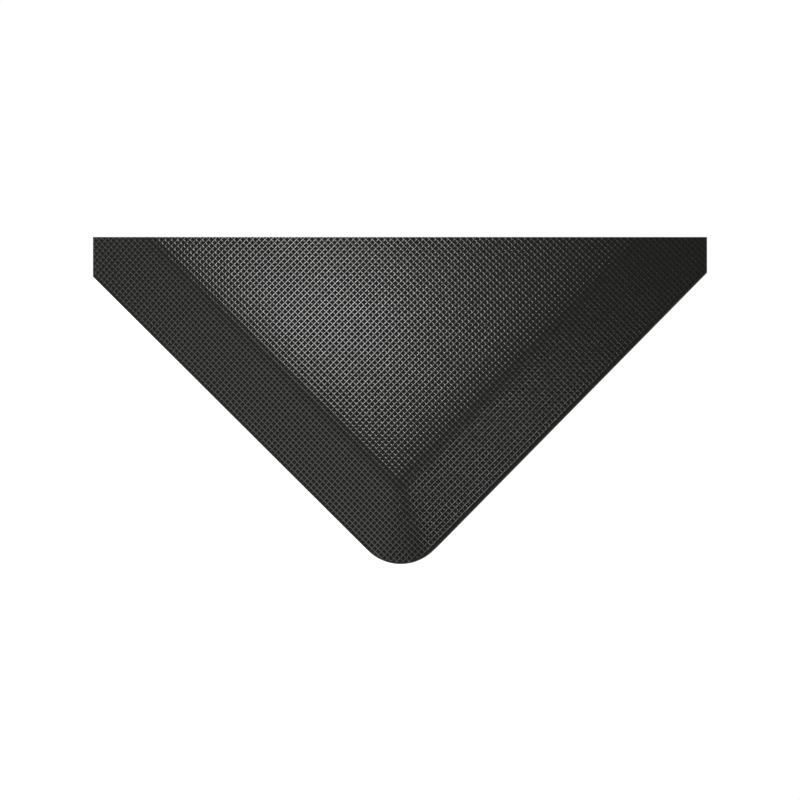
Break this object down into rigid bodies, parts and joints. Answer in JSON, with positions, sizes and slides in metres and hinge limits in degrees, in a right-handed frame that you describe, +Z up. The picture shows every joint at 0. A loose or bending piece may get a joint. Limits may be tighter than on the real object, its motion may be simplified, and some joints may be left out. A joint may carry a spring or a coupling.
{
  "type": "anti-fatigue floor mat",
  "caption": "Rectangular anti-fatigue floor mat with a grid-embossed vinyl wear layer over sponge, bevelled edges and rounded corners.",
  "frame": {"origin": "middle of the underside, on the floor", "axes": "+X along the long side, +Y along the short side, +Z up from the floor through the mat's thickness"},
  "size_m": [0.9, 0.6, 0.0191],
  "materials": {
    "embossed_vinyl": "black grid-embossed vinyl, satin ridges over dull pockets",
    "vinyl_sponge": "charcoal closed-cell sponge, matte",
    "grip_rubber": "black slip-resistant sheet, dull, finely pebbled"
  },
  "bodies": {
    "root": {"wear_layer": "embossed_vinyl", "foam_core": "vinyl_sponge", "backing": "grip_rubber"}
  },
  "joints": []
}
